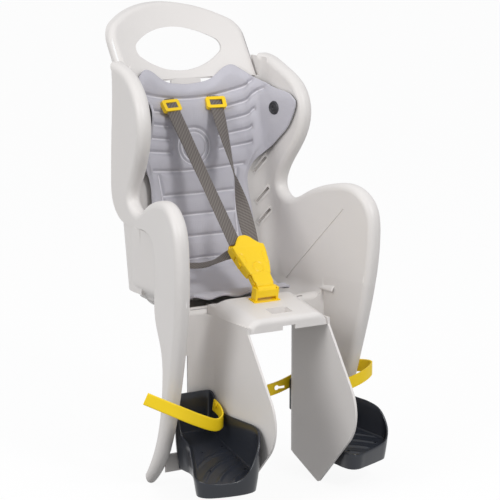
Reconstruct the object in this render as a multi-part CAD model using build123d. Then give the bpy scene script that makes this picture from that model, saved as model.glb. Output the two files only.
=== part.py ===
from build123d import *
import os
from math import atan, cos, degrees, hypot, radians, sin, tan

# Child bike seat. Millimetres, +Z up, the seat faces -Y, left and right as seen from the front.
# Shapes are drawn with Y = 0 near the front of the pan, and moved at the end so that the origin is
# the middle of the carrier's bolt pattern under the pan.

# Free space between pieces that fit together, and how far a cut runs past what it cuts
fit_gap = 0.5
cut_over = 10.0

# Walls of the moulded shell
wall = 4.0
skin = 3.5
pan_thickness = 5.0
pan_corner_r = 30.0

# Plan of the seat tub: a shallow back arc, two corners and sides that open towards the front
back_y = 116.0
back_sag = 12.0
corner_r = 42.0
knee_y = 42.0
knee_r = 150.0
side_x0 = 141.0
side_flare = 0.19
recline = 0.158
front_reach = -300.0
rear_reach = 280.0
core_x = 60.0
tub_top_z = 400.0

# Rolled rim seen from the side, from behind the head wing to the tip of the leg guard
rim_depth = 27.0
rim_r = 11.0
nose_wall = 7.0
rim_line = [(155, 410), (126, 406), (94, 394), (43, 358), (29, 318), (45, 263), (80, 212), (89, 184),
            (66, 167), (20, 182), (-40, 203), (-97, 204), (-134, 176), (-144, 128), (-130, 10),
            (-97, -110), (-41, -240), (2, -284)]
rim_back_line = [(18, -286), (-46, -190), (-66, -100), (-60, -40), (-30, 8), (-27, 50), (-36, 100), (-22, 135),
                 (20, 145), (75, 141), (122, 150), (146, 178), (150, 215), (146, 300), (144, 396)]
rim_high_z = 440.0
guard_top_z = 45.0
guard_bottom_z = -300.0
guard_tip_x = 158.0
guard_tip_flare = 0.05
guard_tip_depth = 23.0

# Hip band round the low back of the tub
hip_depth = 22.0
hip_low_z = 30.0
hip_high_z = 143.0
hip_front_y = 45.0

# Crease moulded across each side wall
crease_start = (60.0, 22.0)
crease_end = (-78.0, 165.0)
crease_width = 2.0
crease_depth = 1.2

# Carrying loop over the back
loop_start_z = 372.0
loop_lean = 0.67
loop_top_z = 497.0
loop_depth = 24.0
loop_half_width = 134.0
loop_sag = 30.0
loop_shoulder_z = 455.0
loop_shoulder_r = 40.0
gusset_line = [(108, 366), (126, 405), (178, 405), (160, 366)]
window_end_r = 14.0
window_half_width = 92.0
window_low_z = 384.0
window_mid_z = 424.0
window_high_z = 456.0
loop_side_gap = 0.01

# Slots for the shoulder straps
slot_x = 46.0
slot_width = 34.0
slot_height = 7.0
slot_z = 342.0
upper_slot_z = 366.0

# Raised ledge at the front of the pan
ledge_rear_y = 12.0
ledge_z = 20.0
ledge_r = 12.0
ledge_half_width = 110.0
ledge_hollow_y = 4.0
ledge_roof = 6.0

# Nose between the legs
nose_half_width = 79.0
nose_back_y = -45.0
nose_rear_y = -64.0
nose_front_y = -163.0
nose_edge_r = 10.0
nose_top_z = 33.0
nose_slope = 0.19
nose_corner_r = 26.0
lip_bottom_z = -6.0
lip_notch_width = 24.0
lip_notch_height = 7.0
clip_y = -86.0
clip_width = 44.0
clip_depth = 14.0
pocket_y = -132.0
pocket_width = 40.0
pocket_length = 22.0
pocket_floor_z = 8.0
pocket_hole_d = 6.0

# Leg panels
leg_back_y = -35.0
leg_corner_r = 25.0
leg_wall_edge_x = 117.0
leg_bottom_z = -258.0
leg_bar_height = 32.0
panel_rear_y = 20.0
panel_tip = (-137.0, -284.0)
panel_bulge = (-268.0, -150.0)
panel_heel = (-52.0, -250.0)
panel_bulge_r = 70.0
panel_tip_r = 8.0
panel_heel_r = 10.0
leg_wall_reach = 160.0
leg_window_top_z = -62.0
web_line = [(-75, 44), (-31, 44), (-31, -215), (-50, -215), (-75, -100)]
web_corner_x = 100.0
web_corner_z = 40.0

# Edge of the tub's own walls seen from the side
tub_side_line = [(rear_reach, loop_start_z), (110, loop_start_z), (75, 345), (62, 300), (78, 255), (118, 215),
                 (120, 170), (100, 150), (40, 152), (-30, 172), (-95, 172), (-112, 130), (-104, guard_top_z),
                 (leg_back_y, guard_top_z), (leg_back_y, -1), (rear_reach, -1)]

# Vent slits in the tub's rear corners
vent_levels = (218.0, 165.0, 128.0)
vent_length = 34.0
vent_height = 4.5
vent_depth = 9.0
vent_tilt = -50.0
vent_inset = 1.0

# Seat pad
pad_thickness = 18.0
flap_thickness = 8.0
pad_top_z = 365.0
pad_ear_z = 392.0
pad_floor_z = 8.0
pad_half_width = 104.0
pad_front_r = 24.0
pad_half_line = [(0, pad_top_z), (40, pad_top_z + 5), (72, pad_ear_z - 2), (88, pad_ear_z), (102, pad_ear_z - 10),
                 (104, 225), (98, 200), (104, 150), (108, pad_floor_z), (0, pad_floor_z)]
pad_side_line = [(130, 8), (12, 8), (-36, 24), (-46, 27), (-46, 37), (-36, 40), (12, 25), (130, 27)]
pad_slot_z = 334.0
pad_slot_width = 42.0
pad_slot_height = 34.0
pad_slot_depth = 90.0
flap_line = [(170, 386), (95, 357), (45, 350), (38, 332), (55, 292), (111, 245), (160, 205), (190, 205),
             (190, 386)]
flap_corner_r = 8.0
flap_tip_y = 60.0
flap_inner_x = 85.0
snap_y = 84.0
snap_z = 322.0
snap_d = 15.0
snap_height = 3.0

# Webbing harness
strap_width = 25.0
strap_thickness = 1.6
strap_bend_y = 158.0
strap_rear_y = 190.0
slider_length = 22.0
slider_width = 36.0
slider_height = 8.0
slider_gap = 0.6
slider_window = 11.0
slider_run = 17.0
slider_corner_r = 4.0
slider_lip = 1.0
bar_length = 150.0
bar_height = 14.0
bar_depth = 30.0
bar_setback = 8.0
lap_y = 52.0
lap_z = 82.0
lap_width = 20.0
lap_end_x = 20.0
lap_end_v = 82.0
anchor_length = 30.0
anchor_height = 26.0
anchor_thickness = 4.0

# Buckle, measured up from the bar of the crotch clip
buckle_tilt = -47.0
body_thickness = 16.0
body_low_v = 30.0
body_top_v = 109.0
body_half_line = [(21, 30), (24.5, 42), (28.5, 60), (31, 76), (31.5, 89), (27, 97), (5, 109)]
body_corner_r = 3.0
body_edge_r = 2.0
plate_cut_line = [(5, 112), (25, 87), (45, 87), (45, 112)]
buckle_strap_x = 16.0
strap_end_v = 96.0
strap_pocket_x = 15.0
strap_pocket_width = 27.0
strap_pocket_thickness = 6.0
strap_pocket_low_v = 88.0
button_v = 59.0
button_length = 19.0
button_height = 10.0
button_depth = 8.5
button_floor_x = 17.0
button_travel = 2.5
button_stop = 1.0
button_corner_r = 2.0
tongue_width = 38.0
tongue_low_width = 34.0
tongue_thickness = 8.0
tongue_depth = 18.0
tongue_eye = 6.5
tongue_step_v = 10.0
bar_d = 6.0
clip_bar_height = 18.0
clip_height = 23.0
cheek_thickness = 4.0
collar_height = 2.0
collar_margin = 3.0
stem_depth = 8.0
bar_overlap = 0.5

# Footrests
tray_gap = 4.0
tray_wall = 3.0
tray_rear_y = -47.0
tray_waist_x = 152.0
tray_waist_y = -96.0
tray_corner_r = 18.0
tray_toe_r = 22.0
tray_floor_z = -188.0
tray_slope = 0.22
tray_rim = 4.0
tray_bottom_z = -247.0
tray_top_z = -121.0
tray_split_x = 138.0
tray_left_front = -207.0
tray_left_toe = (208.0, -220.0)
tray_left_wall = [(-47, -121), (-58, -121), (-74, -150), (-205, -148), (-236, -156), (-234, -190), (-209, -222),
                  (-207, -247), (-47, -247)]
tray_wall_corners = {1: 6.0, 2: 12.0, 4: 14.0, 5: 20.0, 6: 20.0}
tray_right_front = -222.0
tray_right_toe = (197.0, -184.0)
tray_rear_line = [(0, -121), (-50, -121), (-56, -165), (-66, -188)]
tray_right_inner = [(0, -121), (-56, -121), (-90, -140), (-112, -170), (-122, -200)]
tray_right_outer = [(0, -121), (-56, -121), (-100, -148), (-124, -152), (-152, -157), (-167, -176), (-178, -206),
                    (-186, -214)]
tread_centre = (60.0, -300.0)
tread_radii = (90.0, 112.0, 134.0, 156.0, 178.0)
tread_width = 3.0
tread_height = 1.2
drain_d = 5.0
drain_spots = [(96, -110), (100, -190), (140, -120), (160, -180)]
lug_x0 = 122.0
lug_x1 = 148.0
clamp_inner_x = 88.0
clamp_low_z = -187.0
clamp_high_z = -130.0
clamp_thickness = 5.0
clamp_corner_r = 5.0
lug_margin = 4.0
lug_overlap = 1.0
foot_strap_width = 21.0
foot_strap_thickness = 2.6
foot_strap_z = -174.0
foot_strap_tilt = 0.27
foot_strap_y = -66.0
foot_strap_straight = 20.0
foot_strap_points = 24
foot_strap_right = [(97, -107), (125, -121), (185, -120), (203, -105), (196, -75), (165, -10), (125, -12),
                    (50, -14)]
foot_strap_left = [(97, -107), (125, -121), (185, -122), (232, -99)]
keyhole_x = 66.0
keyhole_d = 9.0
keyhole_slot = (16.0, 4.5)
rivet_d = 10.0
rivet_height = 2.5
rivet_gap = 0.1
rivet_setback = 12.0

# Carrier bolt pattern under the pan
mount_y = 46.0
bolt_spacing_x = 80.0
bolt_spacing_y = 60.0
bolt_hole_d = 8.5
bolt_boss_d = 22.0
bolt_boss_height = 3.0


def yz(point):
    return Vector(0, point[0], point[1])


def xz(point):
    return Vector(point[0], 0, point[1])


def both_sides(solid):
    return solid + mirror(solid, Plane.YZ)


def extrude_x(wire, half):
    return extrude(Face(wire), amount=half, dir=Vector(1, 0, 0), both=True)


def through_y(face):
    return extrude(face, amount=2 * rear_reach, dir=Vector(0, 1, 0), both=True)


def side_x(y, off=0.0):
    return side_x0 - side_flare * min(y, knee_y) + off


def tub_plan(off):
    corner_y = back_y - back_sag + off
    right_side = [Vector(side_x(y, off), y) for y in (front_reach, knee_y, corner_y)]
    left_side = [Vector(-p.X, p.Y) for p in reversed(right_side)]
    outline = Wire([
        Edge.make_line(right_side[0], right_side[1]),
        Edge.make_line(right_side[1], right_side[2]),
        Edge.make_three_point_arc(right_side[2], Vector(0, back_y + off), left_side[0]),
        Edge.make_line(left_side[0], left_side[1]),
        Edge.make_line(left_side[1], left_side[2]),
        Edge.make_line(left_side[2], right_side[0]),
    ])
    face = fillet([v for v in Face(outline).vertices() if v.Y > knee_y + 1], corner_r + off)
    return fillet([v for v in face.vertices() if abs(v.Y - knee_y) < 0.01], knee_r)


def side_plan(off):
    knee_x = side_x(knee_y, off)
    outer = [(side_x(front_reach, off), front_reach), (knee_x, knee_y), (knee_x, rear_reach)]
    inner = [(core_x, rear_reach), (core_x, front_reach)]
    face = Face(Wire.make_polygon([Vector(x, y) for x, y in outer + inner]))
    return fillet([v for v in face.vertices() if abs(v.Y - knee_y) < 0.01], knee_r)


def leaning_prism(face, lean, low, high):
    height = high - low
    return extrude(face, amount=height * hypot(1, lean), dir=Vector(0, lean, 1).normalized())


def tub_block(off, low, high):
    return leaning_prism(Pos(0, recline * low, low) * tub_plan(off), recline, low, high)


def rounded_tub_block(off, low, high, radius):
    block = tub_block(off, low, high)
    floor_edges = block.edges().filter_by_position(Axis.Z, low - 0.1, low + 0.1)
    return fillet([e for e in floor_edges if e.center().Y > front_reach + 1], radius)


def tub_walls():
    outer = rounded_tub_block(wall, 0, tub_top_z, pan_corner_r)
    inner = rounded_tub_block(0, pan_thickness, tub_top_z + cut_over, pan_corner_r - wall)
    return (outer - inner) & extrude_x(Wire.make_polygon([yz(p) for p in tub_side_line]), 2 * rear_reach)


def inset_curve(curve, distance, count=30):
    points = []
    for i in range(count + 1):
        tangent = curve % (i / count)
        points.append((curve @ (i / count)) + Vector(0, -tangent.Z, tangent.Y) * distance)
    return Edge.make_spline(points)


def rim_region(front, back):
    outline = Wire([front, Edge.make_line(front @ 1, back @ 0), back, Edge.make_line(back @ 1, front @ 0)])
    return extrude(Face(outline), amount=rear_reach, dir=Vector(1, 0, 0))


def side_block(off, low, high):
    return leaning_prism(Pos(0, recline * low, low) * side_plan(off), recline, low, high)


def guard_block(inner, outer, tip_outer):
    def quad(line, inner_off, outer_off, z):
        corners = ((front_reach, inner_off), (0, inner_off), (0, outer_off), (front_reach, outer_off))
        return Wire.make_polygon([Vector(line(y) + off, y, z) for y, off in corners])

    def top_line(y):
        return side_x(y - recline * guard_top_z)

    def tip_line(y):
        return guard_tip_x - guard_tip_flare * y

    top = quad(top_line, inner, outer, guard_top_z)
    tip = quad(tip_line, inner, tip_outer, guard_bottom_z)
    return Solid.make_loft([tip, top], True)


def rim_edges(solid, curve):
    chosen = []
    for edge in solid.edges():
        middle = edge.position_at(0.5)
        across = abs((edge @ 1).X - (edge @ 0).X) > 0.9 * edge.length
        if not across and curve.distance_to(Vertex(0, middle.Y, middle.Z)) < 0.05:
            chosen.append(edge)
    return chosen


def rolled_rim():
    front = Edge.make_spline([yz(p) for p in rim_line])
    back = Edge.make_spline([yz(p) for p in rim_back_line])
    upper = side_block(rim_depth, guard_top_z, rim_high_z)
    upper = upper - tub_block(0, guard_top_z - 2 * cut_over, rim_high_z + cut_over)
    body = (upper + guard_block(0, rim_depth, guard_tip_depth)) & rim_region(front, back)
    body = fillet(rim_edges(body, front), rim_r)
    core_front = inset_curve(front, nose_wall)
    core_back = Edge.make_spline([Vector(0, y + 6 * cut_over, z) for y, z in rim_back_line])
    upper = side_block(rim_depth - skin, guard_top_z, rim_high_z)
    upper = upper - tub_block(wall, guard_top_z - 2 * cut_over, rim_high_z + cut_over)
    core = upper + guard_block(wall, rim_depth - skin, guard_tip_depth - skin)
    return body - (core & rim_region(core_front, core_back))


def hip_band():
    def rear_part(front):
        return Pos(0, front + rear_reach, 0) * Box(2 * rear_reach, 2 * rear_reach, 2 * rear_reach)

    outer = tub_block(wall + hip_depth, hip_low_z, hip_high_z) & rear_part(hip_front_y)
    core = tub_block(wall + hip_depth - skin, hip_low_z - cut_over, hip_high_z - skin)
    core = core & rear_part(hip_front_y + skin)
    return outer - core - tub_block(0, hip_low_z - 2 * cut_over, hip_high_z + cut_over)


def wall_crease():
    start = yz(crease_start)
    end = yz(crease_end)
    plane = Plane(origin=(start + end) / 2, x_dir=end - start, z_dir=(1, 0, 0))
    slab = Location(plane) * Box((end - start).length, crease_width, 2 * rear_reach)
    layer = tub_block(crease_depth, pan_thickness, rim_high_z) - tub_block(-fit_gap, 0, rim_high_z + cut_over)
    return layer & slab


def arch_face(inset):
    half = loop_half_width - inset - loop_side_gap
    right = [xz((half, loop_start_z)), xz((half, loop_shoulder_z - inset))]
    left = [xz((-half, loop_shoulder_z - inset)), xz((-half, loop_start_z))]
    face = Face(Wire([Edge.make_line(*right),
                      Edge.make_three_point_arc(right[1], xz((0, loop_top_z - inset)), left[0]),
                      Edge.make_line(*left), Edge.make_line(left[1], right[0])]))
    return fillet([v for v in face.vertices() if v.Z > loop_start_z + 1], loop_shoulder_r - inset)


def loop_space(shift):
    middle = Vector(0, recline * loop_start_z + back_y + shift)
    right = middle + Vector(loop_half_width, -loop_sag)
    left = middle - Vector(loop_half_width, loop_sag)
    forward = Vector(0, -10 * cut_over)
    outline = Wire([Edge.make_three_point_arc(right, middle, left), Edge.make_line(left, left + forward),
                    Edge.make_line(left + forward, right + forward), Edge.make_line(right + forward, right)])
    base = Pos(0, 0, loop_start_z) * Face(outline)
    return leaning_prism(base, loop_lean, loop_start_z, loop_top_z + 2 * cut_over)


def lens_window():
    left = xz((-window_half_width, window_mid_z))
    right = xz((window_half_width, window_mid_z))
    upper = Edge.make_three_point_arc(left, xz((0, window_high_z)), right)
    lower = Edge.make_three_point_arc(right, xz((0, window_low_z)), left)
    lens = Face(Wire([upper, lower]))
    lens = fillet(lens.vertices(), window_end_r)
    return through_y(lens)


def carrying_loop():
    outline = arch_face(0)
    arch_edges = [e for e in outline.edges() if e.center().Z > loop_start_z + 1]
    front_space = loop_space(0)
    body = (loop_space(loop_depth) - front_space) & through_y(outline)
    front_edges = []
    for edge in body.edges():
        middle = edge.position_at(0.5)
        on_arch = min(e.distance_to(Vertex(middle.X, 0, middle.Z)) for e in arch_edges) < 0.05
        if on_arch and front_space.distance_to(Vertex(*middle)) < 0.05:
            front_edges.append(edge)
    body = fillet(front_edges, rim_r)
    core = loop_space(loop_depth + 4 * cut_over) - loop_space(wall * hypot(1, loop_lean))
    core = core & through_y(arch_face(skin))
    return body - core - lens_window()


def loop_gusset():
    outline = Wire.make_polygon([yz(p) for p in gusset_line])
    return Pos(side_x(knee_y), 0, 0) * extrude(Face(outline), amount=wall, dir=Vector(1, 0, 0))


def nose_block(inset):
    rise = nose_top_z - nose_slope * (nose_rear_y - nose_front_y)
    low = lip_bottom_z - cut_over * bool(inset)
    rear = leg_back_y + cut_over * bool(inset)
    outline = [(rear, low), (rear, ledge_z - inset), (nose_back_y, ledge_z - inset),
               (nose_rear_y + inset / 2, nose_top_z - inset), (nose_front_y + inset, rise - inset),
               (nose_front_y + inset, low)]
    block = extrude_x(Wire.make_polygon([yz(p) for p in outline]), nose_half_width - inset)
    sides = [e for e in block.edges() if abs(abs(e.center().X) - nose_half_width + inset) < 0.01
             and nose_front_y < e.center().Y < nose_rear_y and e.center().Z > rise - inset]
    block = fillet(sides, nose_corner_r - inset)
    ends = [e for e in block.edges() if abs(e.center().X) < 0.01 and e.center().Z > rise - inset - 0.5
            and (abs(e.center().Y - nose_front_y - inset) < 0.1 or abs(e.center().Z - nose_top_z + inset) < 0.1)]
    return fillet(ends, nose_edge_r - inset)


def roof_place(y):
    return Pos(0, y, nose_top_z - nose_slope * (nose_rear_y - y)) * Rot(degrees(atan(nose_slope)), 0, 0)


def nose():
    body = nose_block(0) - nose_block(wall)
    clip_slot = roof_place(clip_y) * Box(clip_width + 2 * fit_gap, clip_depth + 2 * fit_gap, 4 * cut_over)
    pocket = Pos(0, pocket_y, nose_top_z) * Box(pocket_width, pocket_length, 2 * (nose_top_z - pocket_floor_z))
    tray_low = pocket_floor_z - wall
    tray = Pos(0, pocket_y, (tray_low + nose_top_z) / 2) * Box(
        pocket_width + 2 * wall, pocket_length + 2 * wall, nose_top_z - tray_low)
    hole = Pos(0, pocket_y, pocket_floor_z) * Cylinder(pocket_hole_d / 2, 3 * cut_over)
    notch = Pos(0, nose_front_y, lip_bottom_z) * Box(lip_notch_width, 2 * cut_over, 2 * lip_notch_height)
    return body + (tray & nose_block(0)) - clip_slot - pocket - hole - notch


def pan_ledge():
    outline = [(ledge_rear_y, pan_thickness), (leg_back_y, ledge_z), (leg_back_y, 0), (ledge_rear_y, 0)]
    face = Face(Wire.make_polygon([yz(p) for p in outline]))
    face = fillet(face.vertices().sort_by_distance(yz(outline[1]))[0], ledge_r)
    block = extrude(face, amount=leg_wall_reach, dir=Vector(1, 0, 0), both=True)
    return block & rounded_tub_block(wall, 0, 3 * ledge_z, pan_corner_r)


def ledge_hollow():
    rear = leg_back_y + wall
    outline = [(ledge_hollow_y, -cut_over), (ledge_hollow_y, pan_thickness / 2), (rear, ledge_z - ledge_roof),
               (rear, -cut_over)]
    return extrude_x(Wire.make_polygon([yz(p) for p in outline]), ledge_half_width)


def leg_panel():
    inner = nose_half_width - wall
    outer = nose_half_width
    rear = leg_back_y + wall
    outline = [(inner, front_reach), (inner, rear), (leg_wall_reach, rear), (leg_wall_reach, leg_back_y),
               (outer, leg_back_y), (outer, front_reach)]
    face = Face(Wire.make_polygon([Vector(x, y) for x, y in outline]))
    face = fillet(face.vertices().sort_by_distance(Vector(inner, rear))[0], leg_corner_r + wall)
    face = fillet(face.vertices().sort_by_distance(Vector(outer, leg_back_y))[0], leg_corner_r)
    walls = extrude(Pos(0, 0, guard_bottom_z) * face, amount=pan_thickness - guard_bottom_z, dir=Vector(0, 0, 1))
    leaf_line = [(panel_rear_y, pan_thickness), (nose_front_y, pan_thickness), (nose_front_y, lip_bottom_z),
                 panel_bulge, panel_tip, panel_heel, (rear, leg_bottom_z), (panel_rear_y, leg_bottom_z)]
    leaf = Face(Wire.make_polygon([yz(p) for p in leaf_line]))
    for point, radius in ((panel_bulge, panel_bulge_r), (panel_tip, panel_tip_r), (panel_heel, panel_heel_r)):
        leaf = fillet(leaf.vertices().sort_by_distance(yz(point))[0], radius)
    walls = walls & extrude(leaf, amount=rear_reach, dir=Vector(1, 0, 0))
    low = leg_bottom_z + leg_bar_height
    opening = Pos((leg_wall_edge_x + rear_reach) / 2, leg_back_y, (low + leg_window_top_z) / 2) * Box(
        rear_reach - leg_wall_edge_x, 4 * cut_over, leg_window_top_z - low)
    return walls - opening


def guard_web():
    region = Face(Wire.make_polygon([yz(p) for p in web_line]))
    web = guard_block(0, wall, wall) & extrude(region, amount=rear_reach, dir=Vector(1, 0, 0))
    reach = side_x(leg_back_y) + wall - web_corner_x
    corner = Pos(web_corner_x + reach / 2, leg_back_y + wall / 2, web_corner_z / 2) * Box(reach, wall, web_corner_z)
    return web + (corner - rounded_tub_block(0, pan_thickness, 2 * web_corner_z, pan_corner_r - wall))


def vent_place(z):
    middle = corner_r * sin(radians(45))
    corner = Vector(side_x(knee_y) - corner_r, back_y - back_sag - corner_r + recline * z, z)
    return Pos(*(corner + Vector(middle, middle, 0))) * Rot(0, 0, -45) * Rot(0, vent_tilt, 0)


def vent_hood(z):
    depth = vent_depth + skin - vent_inset
    hood = Box(vent_length + 2 * skin, depth, vent_height + 2 * skin)
    return vent_place(z) * Pos(0, vent_inset + depth / 2, 0) * hood


def vent_slit(z):
    slit = Box(vent_length, vent_depth + cut_over, vent_height)
    return vent_place(z) * Pos(0, (vent_depth - cut_over) / 2, 0) * slit


def seat_shell():
    side = rolled_rim() + leg_panel() + guard_web() + loop_gusset()
    shell = tub_walls() + both_sides(side) + nose() + carrying_loop() + hip_band()
    shell = shell + pan_ledge() - ledge_hollow() - wall_crease()
    bolts = GridLocations(bolt_spacing_x, bolt_spacing_y, 2, 2)
    for place in bolts:
        spot = Pos(0, mount_y, 0) * place
        shell = shell + spot * Pos(0, 0, pan_thickness + bolt_boss_height / 2) * Cylinder(
            bolt_boss_d / 2, bolt_boss_height)
        shell = shell - spot * Cylinder(bolt_hole_d / 2, 4 * cut_over)
    for side in (-1, 1):
        for z in (slot_z, upper_slot_z):
            shell = shell - Pos(side * slot_x, back_y + recline * z, z) * Box(slot_width, 8 * cut_over, slot_height)
    for z in vent_levels:
        shell = shell + both_sides(vent_hood(z))
        shell = shell - both_sides(vent_slit(z))
    return shell


def tub_layer(outer, inner, low, high):
    return tub_block(-outer, low, high) - tub_block(-inner, low - cut_over, high + cut_over)


def seat_pad():
    outline = Face(Wire.make_polygon([xz(p) for p in pad_half_line]))
    back = tub_layer(0, pad_thickness, pad_floor_z, pad_ear_z + fit_gap) & both_sides(through_y(outline))
    flap_face = Face(Wire.make_polygon([yz(p) for p in flap_line]))
    flap_face = fillet([v for v in flap_face.vertices() if v.Y < flap_tip_y], flap_corner_r)
    flap_side = Pos(flap_inner_x, 0, 0) * extrude(flap_face, amount=rear_reach, dir=Vector(1, 0, 0))
    flaps = tub_layer(0, flap_thickness, pad_floor_z, pad_ear_z + fit_gap) & both_sides(flap_side)
    seat = extrude_x(Wire.make_polygon([yz(p) for p in pad_side_line]), pad_half_width)
    seat = fillet(seat.edges().filter_by(Axis.Z).group_by(Axis.Y)[0], pad_front_r)
    pad = (back + flaps + seat) & rounded_tub_block(0, pan_thickness, tub_top_z, pan_corner_r - wall)
    pad = pad - (loop_space(6 * cut_over) - loop_space(-fit_gap))
    for side in (-1, 1):
        pad = pad - Pos(side * slot_x, back_y + recline * slot_z, pad_slot_z) * Box(
            pad_slot_width, pad_slot_depth, pad_slot_height)
    return pad


def pad_snap():
    disc = Pos(side_x(knee_y), snap_y, snap_z) * Rot(0, 90, 0) * Cylinder(snap_d / 2, 8 * cut_over)
    return tub_layer(flap_thickness, flap_thickness + snap_height, snap_z - 2 * snap_d, snap_z + 2 * snap_d) & disc


def strap_plane():
    across = Vector(buckle_strap_x - slot_x, buckle_top().Y - strap_bend_y, 0)
    return Plane(origin=(slot_x, strap_bend_y, slot_z), x_dir=across, z_dir=across.cross(Vector(0, 0, 1)))


def buckle_place():
    bar = roof_place(clip_y) * Pos(0, 0, clip_bar_height)
    return Pos(*bar.position) * Rot(buckle_tilt, 0, 0)


def buckle_top():
    return (buckle_place() * Pos(0, 0, strap_end_v)).position


def shoulder_strap():
    plane = strap_plane()
    end = plane.to_local_coords(Vector(buckle_strap_x, buckle_top().Y, buckle_top().Z))
    back_run = strap_rear_y - strap_bend_y
    half = strap_thickness / 2
    slope = Vector(end.X, end.Y).normalized()
    side = Vector(-slope.Y, slope.X) * half
    tip = Vector(end.X, end.Y)
    bend = half * tan(atan(-slope.Y / slope.X) / 2)
    face = Face(Wire.make_polygon([Vector(-back_run, half), Vector(bend, half), tip + side, tip - side,
                                   Vector(-bend, -half), Vector(-back_run, -half)]))
    return extrude(plane * face, amount=strap_width / 2, both=True)


def strap_slider():
    plane = strap_plane()
    end = plane.to_local_coords(Vector(buckle_strap_x, buckle_top().Y, buckle_top().Z))
    angle = degrees(atan(end.Y / end.X))
    frame = Box(slider_length, slider_height, slider_width)
    frame = fillet(frame.edges().filter_by(Axis.Y), slider_corner_r)
    frame = frame - Box(slider_length + cut_over, strap_thickness + 2 * slider_gap, strap_width + 2 * slider_gap)
    frame = frame - Pos(0, slider_height / 2, 0) * Box(slider_window, slider_height, strap_width - 2 * slider_lip)
    return Location(plane) * Rot(0, 0, angle) * Pos(slider_run, 0, 0) * frame


def harness_bar():
    middle_y = back_y + recline * slot_z + bar_setback
    bar = Pos(0, middle_y, slot_z - strap_thickness / 2 - bar_height / 2) * Box(bar_length, bar_depth, bar_height)
    return bar - tub_block(wall, slot_z - 2 * bar_depth, slot_z + 2 * bar_depth)


def lap_anchor():
    block = Pos(side_x(knee_y), lap_y, lap_z) * Box(4 * anchor_length, anchor_length, anchor_height)
    return tub_layer(0, anchor_thickness, lap_z - 2 * anchor_height, lap_z + 2 * anchor_height) & block


def lap_strap():
    start = Vector(side_x(lap_y - recline * lap_z), lap_y, lap_z)
    stop = (buckle_place() * Pos(lap_end_x, 0, lap_end_v)).position
    across = stop - start
    plane = Plane(origin=start, x_dir=across, z_dir=across.cross(Vector(0, 0, 1)).cross(across))
    strap = Location(plane) * Pos(across.length / 2, 0, 0) * Box(across.length, strap_thickness, lap_width)
    inside = tub_layer(-wall, anchor_thickness, lap_z - 2 * anchor_height, lap_z + 2 * anchor_height)
    return strap - inside - buckle_place() * buckle_block()


def buckle_block():
    outline = body_half_line + [(-u, v) for u, v in reversed(body_half_line)]
    face = Face(Wire.make_polygon([xz(p) for p in outline]))
    face = fillet(face.vertices(), body_corner_r)
    block = extrude(face, amount=body_thickness / 2, dir=Vector(0, 1, 0), both=True)
    rims = [e for e in block.edges() if abs(abs(e.center().Y) - body_thickness / 2) < 0.01]
    return fillet(rims, body_edge_r)


def buckle_body():
    block = buckle_block()
    block = block - Pos(0, 0, body_low_v) * Box(tongue_width + 2 * fit_gap, tongue_thickness + 2 * fit_gap,
                                               2 * tongue_depth)
    for side in (-1, 1):
        block = block - Pos(side * strap_pocket_x, 0, body_top_v) * Box(
            strap_pocket_width, strap_pocket_thickness, 2 * (body_top_v - strap_pocket_low_v))
        block = block - Pos(side * (button_floor_x + 2 * cut_over), 0, button_v) * Box(
            4 * cut_over, button_height + 2 * fit_gap, button_length + 2 * fit_gap)
    plate_cut = extrude(Face(Wire.make_polygon([xz(p) for p in plate_cut_line])), amount=body_thickness,
                        dir=Vector(0, -1, 0))
    return buckle_place() * (block - both_sides(plate_cut))


def buckle_button():
    middle = button_floor_x + button_travel + button_stop + button_depth / 2
    block = fillet(Box(button_depth, button_height, button_length).edges().filter_by(Axis.Y), button_corner_r)
    return buckle_place() * Pos(middle, 0, button_v) * block


def buckle_tongue():
    top = body_low_v + tongue_depth
    blade = Pos(0, 0, (top + tongue_step_v) / 2) * Box(tongue_width, tongue_thickness, top - tongue_step_v)
    neck = Pos(0, 0, tongue_step_v / 2) * Box(tongue_low_width, tongue_thickness, tongue_step_v)
    eye = Rot(0, 90, 0) * Cylinder(tongue_eye, tongue_low_width)
    bore = Rot(0, 90, 0) * Cylinder(bar_d / 2 + fit_gap, 2 * tongue_width)
    return buckle_place() * (blade + neck + eye - bore)


def crotch_clip():
    collar = Pos(0, 0, collar_height / 2) * Box(
        clip_width + 2 * collar_margin, clip_depth + 2 * collar_margin, collar_height)
    stem = Pos(0, 0, -stem_depth / 2) * Box(clip_width, clip_depth, stem_depth)
    cheeks = Pos(0, 0, clip_height / 2) * Box(clip_width, clip_depth, clip_height)
    cheeks = cheeks - Pos(0, 0, clip_height / 2 + collar_height) * Box(
        clip_width - 2 * cheek_thickness, 4 * clip_depth, clip_height)
    bar = Pos(0, 0, clip_bar_height) * Rot(0, 90, 0) * Cylinder(bar_d / 2, clip_width - 2 * bar_overlap)
    return roof_place(clip_y) * (collar + stem + cheeks + bar)


def tray_floor(y, up=0.0):
    return (y, tray_floor_z + tray_slope * (y - tray_rear_y) + up)


def tray_layer(low, high):
    ends = [tray_floor(cut_over, low), tray_floor(front_reach, low), tray_floor(front_reach, high),
            tray_floor(cut_over, high)]
    return extrude_x(Wire.make_polygon([yz(p) for p in ends]), rear_reach)


def tray_side(line, low_x, high_x):
    ends = [tray_floor(front_reach, tray_rim), (front_reach, tray_bottom_z), (0, tray_bottom_z)]
    face = Pos(low_x, 0, 0) * Face(Wire.make_polygon([yz(p) for p in line + ends]))
    return extrude(face, amount=high_x - low_x, dir=Vector(1, 0, 0))


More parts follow.
